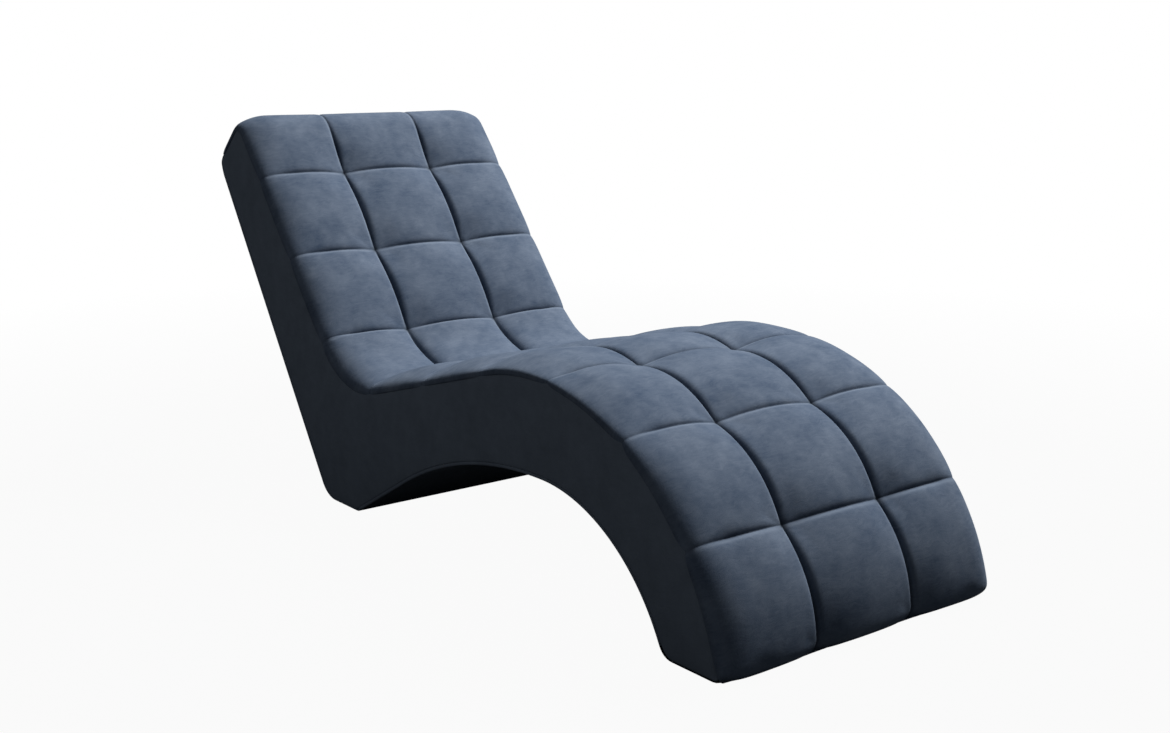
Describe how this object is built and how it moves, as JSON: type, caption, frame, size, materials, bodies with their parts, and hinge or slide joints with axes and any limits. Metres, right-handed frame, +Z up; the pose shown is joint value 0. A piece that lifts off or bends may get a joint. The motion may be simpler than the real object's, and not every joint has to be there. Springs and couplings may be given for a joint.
{
  "type": "reclining lounger",
  "caption": "Wave-shaped upholstered lounger with a quilted velvet top that runs from a raised leg rest through a dipped seat to a tall sloping back, on an arched base.",
  "frame": {"origin": "middle of the bounding box, on the floor under the glides", "axes": "+X across the lounger to the sitter's left, +Y along it from the foot end to the head end, +Z up"},
  "size_m": [0.62, 1.6401, 0.7723],
  "materials": {
    "quilted_velvet": "dark blue-grey velvet with a short nap",
    "plain_velvet": "dark blue-grey velvet, smooth",
    "lining_cloth": "dark matt cloth",
    "plywood": "raw sanded plywood",
    "rail_wood": "raw planed wood",
    "webbing": "woven elastic belt",
    "felt": "grey needle felt",
    "foam": "open-cell foam",
    "hardboard": "brown hardboard",
    "glide_plastic": "black matt plastic"
  },
  "bodies": {
    "root": {"quilted_cover": "quilted_velvet", "left_side_cover": "plain_velvet", "right_side_cover": "plain_velvet", "back_cover": "plain_velvet", "arch_cover": "plain_velvet", "toe_cover": "lining_cloth", "left_side_panel": "plywood", "right_side_panel": "plywood", "toe_rail": "rail_wood", "shin_rail": "rail_wood", "arch_rail": "rail_wood", "seat_rail": "rail_wood", "heel_rail": "rail_wood", "lower_back_rail": "rail_wood", "upper_back_rail": "rail_wood", "head_rail": "rail_wood", "knee_rail": "rail_wood", "corner_blocks": "rail_wood", "webbing_straps": "webbing", "felt_pad": "felt", "foam_core": "foam", "back_board": "hardboard", "toe_glides": "glide_plastic", "heel_glides": "glide_plastic"}
  },
  "joints": []
}
